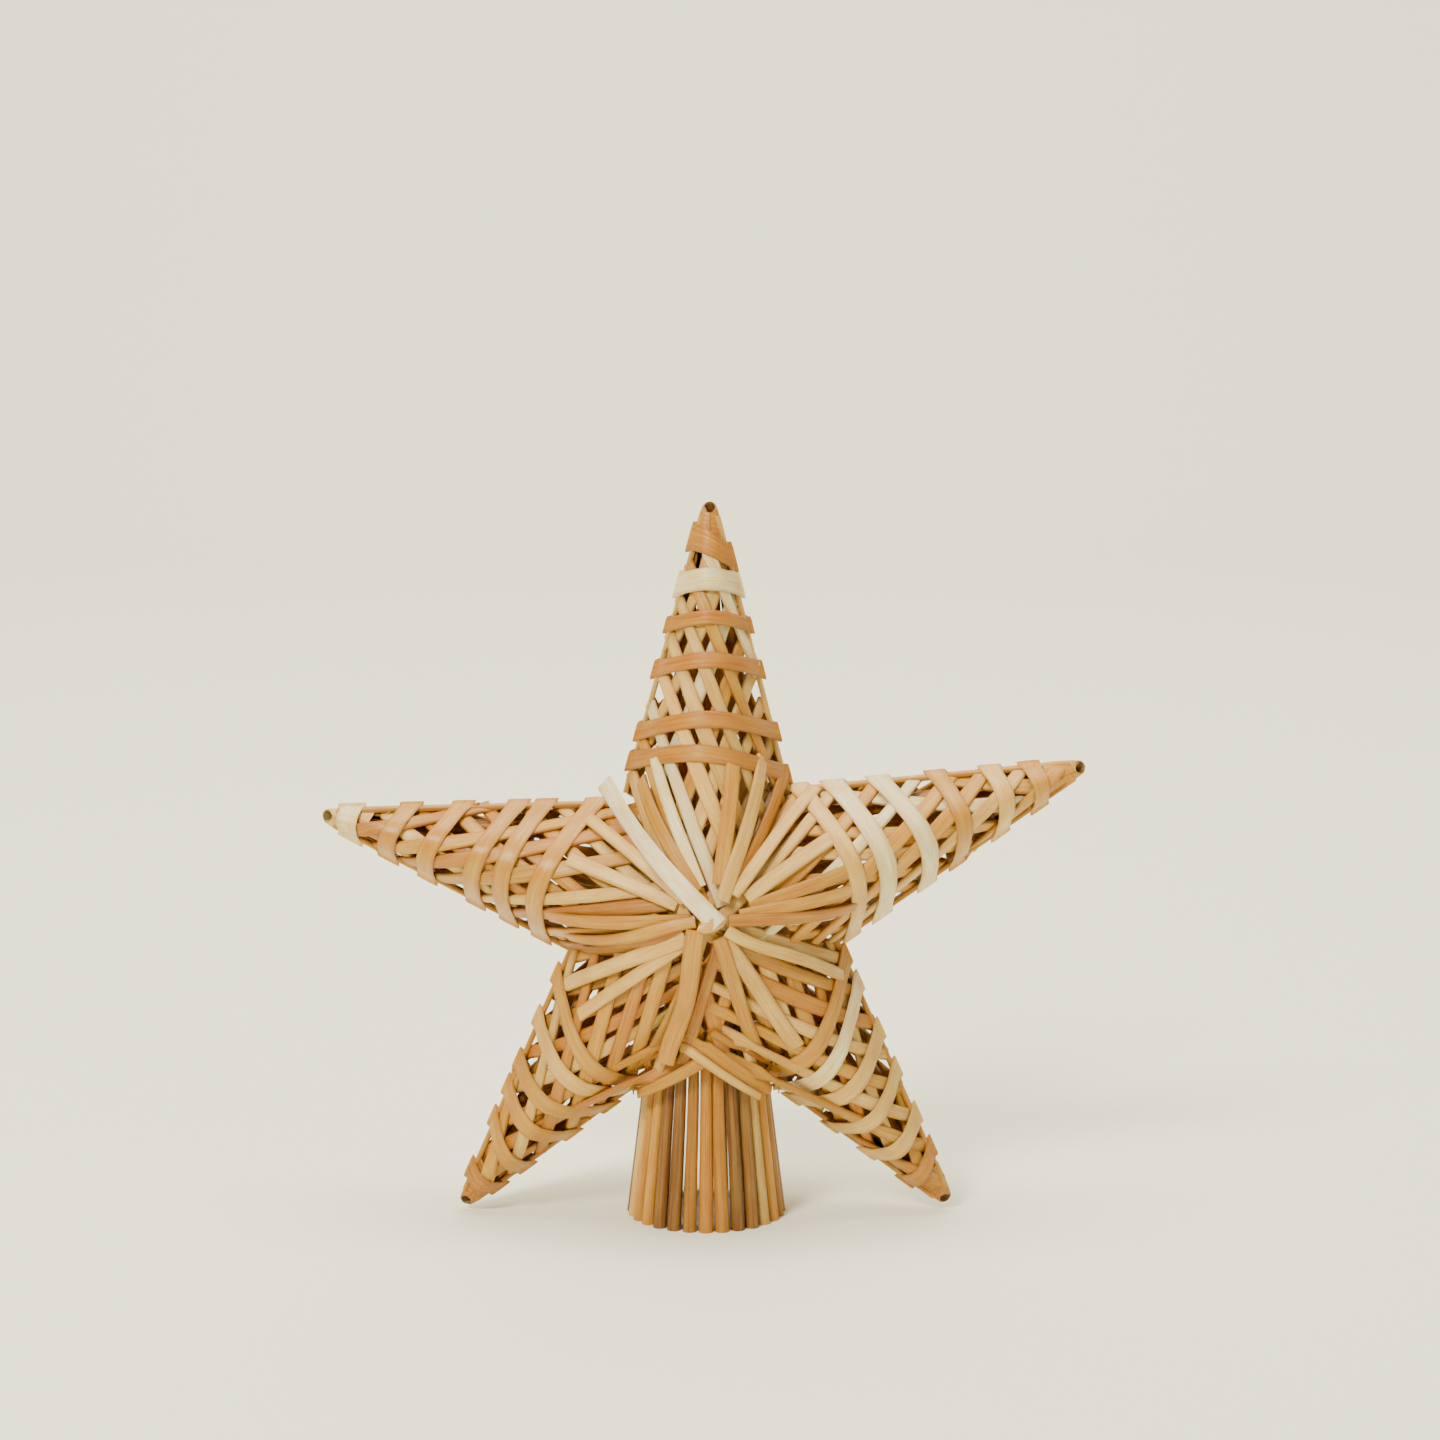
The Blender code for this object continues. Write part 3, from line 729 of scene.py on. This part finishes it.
for arm, tone in CAP_TONES.items():
    straws = new_straws()
    uv = straws.loops.layers.uv["along_straw"]
    colour = varied(tone, BAND_SPREAD)
    outer = add_roll_layer(straws, arm, colour, 0.0, 1.0)
    # The inner face is darkened as painted shade inside the roll
    inner = add_roll_layer(straws, arm, colour, ROLL_WALL, INSIDE_PAINTED_SHADE)
    strips = [(outer[row], outer[row + 1]) for row in range(ROLL_RINGS - 1)]
    strips += [(inner[row + 1], inner[row]) for row in range(ROLL_RINGS - 1)]
    strips += [(inner[0], outer[0]), (outer[-1], inner[-1])]
    for first, second in strips:
        for step in range(ROLL_SIDES):
            face = straws.faces.new((first[step], first[step + 1], second[step + 1], second[step]))
            for loop, (column, row) in zip(face.loops, ((0, 0), (1, 0), (1, 1), (0, 1))):
                loop[uv].uv = (row * ROLL_GRAIN_ALONG, (step + column) * ROLL_GRAIN_ACROSS)
    for step in (0, ROLL_SIDES):
        for row in range(ROLL_RINGS - 1):
            edge = (outer[row][step], outer[row + 1][step], inner[row + 1][step], inner[row][step])
            straws.faces.new(edge)
    piece_of(straws, arm + "_rolled_tip", BAND_STRAW, "straw_band", arm + "_tip_cap")

# Straws that radiate from the middle
# Pressed straws fan out from the star's middle over the roots of the arms, their outer ends
# tucked under the bands. One wide ivory straw is folded over the middle and holds them down.

RAY_ROOM = 0.0009
RAY_RISE = WEAVE_THICK + RAY_ROOM
RAY_TUCKED_RISE = 0.0004
RAY_TUCK = 0.0035
RAY_EDGE_ROOM = 0.0035
RAY_EASE = 8
RAY_STEPS = 12
RAY_LEVEL = 0.0007
RAY_WIDTH = 0.0053
RAY_BODY = 0.0017
RAY_NARROWEST = 0.88
RAY_WIDEST = 1.1
RAY_TUCK_SHARPNESS = 4
RAY_INNER_SCALE = 0.9

# The fan's straws: heading in degrees, tone, distance in mm from the middle to the inner end,
# how high it lies in the stack, and the number of the CAD straw it stands for
FAN = (
    (120.0, "golden", 10.0, 1, 1), (111.0, "ivory", 11.0, 0, 0), (83.0, "golden", 11.0, 1, 0),
    (72.0, "cream", 6.0, 2, 0), (61.0, "orange", 9.0, 1, 2), (47.0, "cream", 9.0, 2, 0),
    (31.0, "cream", 12.0, 0, 0), (17.0, "golden", 12.0, 0, 0), (9.0, "golden", 8.0, 1, 3),
    (1.0, "orange", 4.0, 2, 4), (-32.0, "cream", 4.0, 2, 5), (-59.0, "cream", 7.0, 0, 6),
    (-72.0, "golden", 5.0, 1, 0), (-114.0, "golden", 13.0, 1, 0), (-140.0, "cream", 9.0, 0, 7),
    (-149.0, "cream", 9.0, 1, 0), (-159.0, "orange", 10.0, 0, 0), (-167.0, "golden", 5.0, 2, 8),
    (-177.0, "golden", 7.0, 1, 0), (161.0, "cream", 12.0, 0, 0), (147.0, "cream", 10.0, 1, 0),
)
MIDDLE_SHIFT = Vector((0.0025, 0.0, 0.0032))
MIDDLE = Vector((0.0, 0.0, STAR_HEIGHT)) + MIDDLE_SHIFT


def fan_reach(heading):
    """How far a straw of the fan runs: to under the arm's root band, or short of the arm's edge."""
    arm = min(ARMS, key=lambda name: abs((heading - ARMS[name][0] + 180.0) % 360.0 - 180.0))
    off = math.radians((heading - ARMS[arm][0] + 180.0) % 360.0 - 180.0)
    left, right = BANDS[arm][-1][:2]
    share = (math.sin(off) / math.sin(VALLEY_ANGLE) + 1.0) / 2
    band = ARMS[arm][1] - (right + (left - right) * share) * MM
    edge = half_width(ARMS[arm][1]) / (math.sin(abs(off)) + TAPER * math.cos(off))
    return min(band / math.cos(off) + RAY_TUCK, edge - RAY_EDGE_ROOM)


def star_depth(x, z):
    """Depth of the skin at a place, on the arm whose sector holds it."""
    offset = Vector((x, 0.0, z - STAR_HEIGHT))
    best = max(ARMS, key=lambda arm: offset.dot(heading_vector(ARMS[arm][0])))
    return arm_depth_at(best)(x, z)


between = new_straws()
for heading, tone, inner, level, node in FAN:
    out = heading_vector(heading)
    rise = RAY_RISE + RAY_LEVEL * level
    frames = laid_frames(MIDDLE + out * (inner * MM), MIDDLE + out * fan_reach(heading), RAY_STEPS,
                         star_depth, FRONT, rise, ease=RAY_EASE)
    tucked = []
    for step, (centre, side, up) in enumerate(frames):
        drop = (rise - RAY_TUCKED_RISE) * (step / RAY_STEPS) ** RAY_TUCK_SHARPNESS
        tucked.append((centre - up * drop, side, up))
    outline = pressed_outline(RAY_WIDTH * chance.uniform(RAY_NARROWEST, RAY_WIDEST), RAY_BODY)
    if node:
        straws = new_straws()
        add_straw(straws, tucked[::-1], outline, varied(tone), RAY_INNER_SCALE)
        piece_of(straws, "fan_straw_%02d" % node, FLAT_STRAW, "straw_weave", "middle_straw_%02d" % node)
    else:
        add_straw(between, tucked[::-1], outline, varied(tone), RAY_INNER_SCALE)
piece_of(between, "fan_straws_between", FLAT_STRAW, "straw_weave")

IVORY_WIDTH = 0.0064
IVORY_THICK = 0.0010
IVORY_RISE = RAY_RISE + 3 * RAY_LEVEL + 0.0004
IVORY_HEADING = 132.0
IVORY_LENGTH = 0.052
IVORY_PAST_MIDDLE = 0.0022

SINGLE_SPREAD = 0.02

# The end that is folded under the ivory straw
TUCK_HEADING = -142.0
TUCK_START = 0.0020
TUCK_END = 0.0052
TUCK_STEPS = 4
TUCK_DROP = 0.0005
TUCK_WIDTH = 0.0050
TUCK_THICK = 0.0012

straws = new_straws()
out = heading_vector(IVORY_HEADING)
frames = laid_frames(MIDDLE + out * IVORY_LENGTH, MIDDLE - out * IVORY_PAST_MIDDLE, RAY_STEPS, star_depth,
                     FRONT, IVORY_RISE, ease=RAY_EASE)
add_straw(straws, frames, pressed_outline(IVORY_WIDTH, IVORY_THICK), varied("pale", 0.0))
down = heading_vector(TUCK_HEADING)
frames = laid_frames(MIDDLE - down * TUCK_START, MIDDLE + down * TUCK_END, TUCK_STEPS, star_depth,
                     FRONT, IVORY_RISE - TUCK_DROP)
add_straw(straws, frames, pressed_outline(TUCK_WIDTH, TUCK_THICK), varied("cream", SINGLE_SPREAD))
IVORY_STRAW = straw_finish("ivory_straw", roughness=0.27, coat=0.45, relief=0.00010)
piece_of(straws, "ivory_straw", IVORY_STRAW, "straw_ivory", "ivory_middle_straw")

# Hanging and crossing straws
# A golden straw hangs from the middle before the ring and ends in a slanted cut. Split straws
# cross before the ring's top, where the lower arms part, and show their coarse fibres.

HANGING_TOP = MIDDLE + Vector((-0.0050, 0.0, -0.0020))
HANGING_END = MIDDLE + Vector((-0.0140, 0.0, -0.0520))
HANGING_RISE = RAY_RISE + 0.0022
HANGING_WIDTH = 0.0064
HANGING_THICK = 0.0012
HANGING_CUT = 0.35

straws = new_straws()
frames = laid_frames(HANGING_TOP, HANGING_END, RAY_STEPS, star_depth, FRONT, HANGING_RISE,
                     ease=RAY_EASE)
centre, side, up = frames[-1]
frames[-1] = (centre, side + up.cross(side) * HANGING_CUT, up)
add_straw(straws, frames, pressed_outline(HANGING_WIDTH, HANGING_THICK), varied("golden", SINGLE_SPREAD))
piece_of(straws, "hanging_straw", FLAT_STRAW, "straw_weave", "hanging_middle_straw")

SPLIT_STRAW = straw_finish("split_straw", roughness=0.50, coat=0.08, relief=0.00034)
SPLIT_THICK = 0.0012
SPLIT_LEVEL = 0.0006
SPLIT_TIP_SCALE = 0.8
THIN_TIP_SCALE = 0.7

# Each split straw: its two ends in mm from the middle of the ring's top, its tone, its width in
# mm, how high it lies in the stack, and the number of the CAD straw it stands for
CROSSINGS = (
    ((-6.0, 4.0), (19.5, -18.0), "golden", 5.2, 1, 1), ((0.0, -5.0), (-20.5, -19.5), "golden", 4.6, 1, 2),
    ((-7.0, 0.0), (15.5, -19.0), "cream", 3.6, 3, 0), ((2.0, 6.0), (23.0, -12.0), "orange", 3.4, 1, 0),
    ((-5.0, 4.0), (-23.0, -11.0), "orange", 4.2, 1, 0),
)
loose = new_straws()
for first, second, tone, width, level, node in CROSSINGS:
    start, end = (Vector((x * MM, 0.0, RING_HEIGHT + z * MM)) for x, z in (first, second))
    frames = laid_frames(start, end, RAY_STEPS, star_depth, FRONT, RAY_RISE + SPLIT_LEVEL * level)
    outline = pressed_outline(width * MM, SPLIT_THICK)
    if node:
        straws = new_straws()
        add_straw(straws, frames, outline, varied(tone), SPLIT_TIP_SCALE)
        piece_of(straws, "split_straw_%d" % node, SPLIT_STRAW, "straw_weave", "crossing_straw_%d" % node)
    else:
        add_straw(loose, frames, outline, varied(tone), THIN_TIP_SCALE)
piece_of(loose, "split_straws_between", SPLIT_STRAW, "straw_weave")

# Floor and backdrop
# A seamless sheet of pale matt paper lies under the star and sweeps up behind it, as no piece
# of the part.

SWEEP_WIDTH = 7.0
SWEEP_FRONT = -3.0
SWEEP_BACK = 1.6
SWEEP_RADIUS = 0.8
SWEEP_TOP = 4.0
SWEEP_STEPS = 14
PAPER_COLOUR = from_screen(243, 244, 221)
PAPER_ROUGHNESS = 0.9

sheet = bmesh.new()
profile = [(SWEEP_FRONT, 0.0), (SWEEP_BACK, 0.0)]
for step in range(1, SWEEP_STEPS + 1):
    turn = math.pi / 2 * step / SWEEP_STEPS
    profile.append((SWEEP_BACK + SWEEP_RADIUS * math.sin(turn), SWEEP_RADIUS * (1.0 - math.cos(turn))))
profile.append((SWEEP_BACK + SWEEP_RADIUS, SWEEP_TOP))
rows = [[sheet.verts.new((x, y, z)) for x in (-SWEEP_WIDTH / 2, SWEEP_WIDTH / 2)] for y, z in profile]
for low_row, high_row in zip(rows, rows[1:]):
    sheet.faces.new((low_row[0], low_row[1], high_row[1], high_row[0]))
paper_mesh = bpy.data.meshes.new("paper_sweep")
sheet.to_mesh(paper_mesh)
sheet.free()
paper_mesh.shade_smooth()
paper = bpy.data.materials.new("pale_paper")
paper.use_nodes = True
paper_shader = paper.node_tree.nodes["Principled BSDF"]
paper_shader.inputs["Base Color"].default_value = (*PAPER_COLOUR, 1.0)
paper_shader.inputs["Roughness"].default_value = PAPER_ROUGHNESS
paper_mesh.materials.append(paper)
backdrop = bpy.data.objects.new("paper_sweep", paper_mesh)
bpy.context.scene.collection.objects.link(backdrop)

# Light and camera
# A soft light from the upper left, weaker ones from the right and above, one that washes the
# backdrop, and a pale surround. The camera looks down on the star a little, from the front.

AIM = Vector((0.0047, 0.0, 0.169))
BACKDROP_AIM = Vector((0.0, 2.4, 0.8))
LAMP_COLOUR = (1.0, 0.945, 0.855)
SURROUND_COLOUR = from_screen(240, 236, 222)
SURROUND_STRENGTH = 0.28

# Each lamp: its name, place, power in watts, width and what it is aimed at
LAMPS = (
    ("key", Vector((-0.8, -1.3, 1.5)), 54.0, 0.5, AIM),
    ("fill", Vector((1.6, -1.2, 0.9)), 7.0, 1.4, AIM),
    ("top", Vector((0.1, 0.5, 2.2)), 16.0, 1.6, AIM),
    ("wash", Vector((0.0, 0.3, 2.8)), 140.0, 2.0, BACKDROP_AIM),
)

for name, place, power, width, aim in LAMPS:
    light = bpy.data.lights.new(name, "AREA")
    light.energy = power
    light.size = width
    light.color = LAMP_COLOUR
    lamp = bpy.data.objects.new(name, light)
    lamp.location = place
    lamp.rotation_euler = (aim - place).to_track_quat("-Z", "Y").to_euler()
    bpy.context.scene.collection.objects.link(lamp)

surround = bpy.data.worlds.new("surround")
surround.use_nodes = True
sky = surround.node_tree.nodes["Background"]
sky.inputs["Color"].default_value = (*SURROUND_COLOUR, 1.0)
sky.inputs["Strength"].default_value = SURROUND_STRENGTH
bpy.context.scene.world = surround

CAMERA_RISE = math.radians(10.0)
CAMERA_DISTANCE = 1.33
CAMERA_VIEW = math.radians(20.4)
lens = bpy.data.cameras.new("camera")
lens.angle = CAMERA_VIEW
camera = bpy.data.objects.new("camera", lens)
camera.location = AIM + Vector((0.0, -math.cos(CAMERA_RISE), math.sin(CAMERA_RISE))) * CAMERA_DISTANCE
camera.rotation_euler = (AIM - camera.location).to_track_quat("-Z", "Y").to_euler()
bpy.context.scene.collection.objects.link(camera)
bpy.context.scene.camera = camera
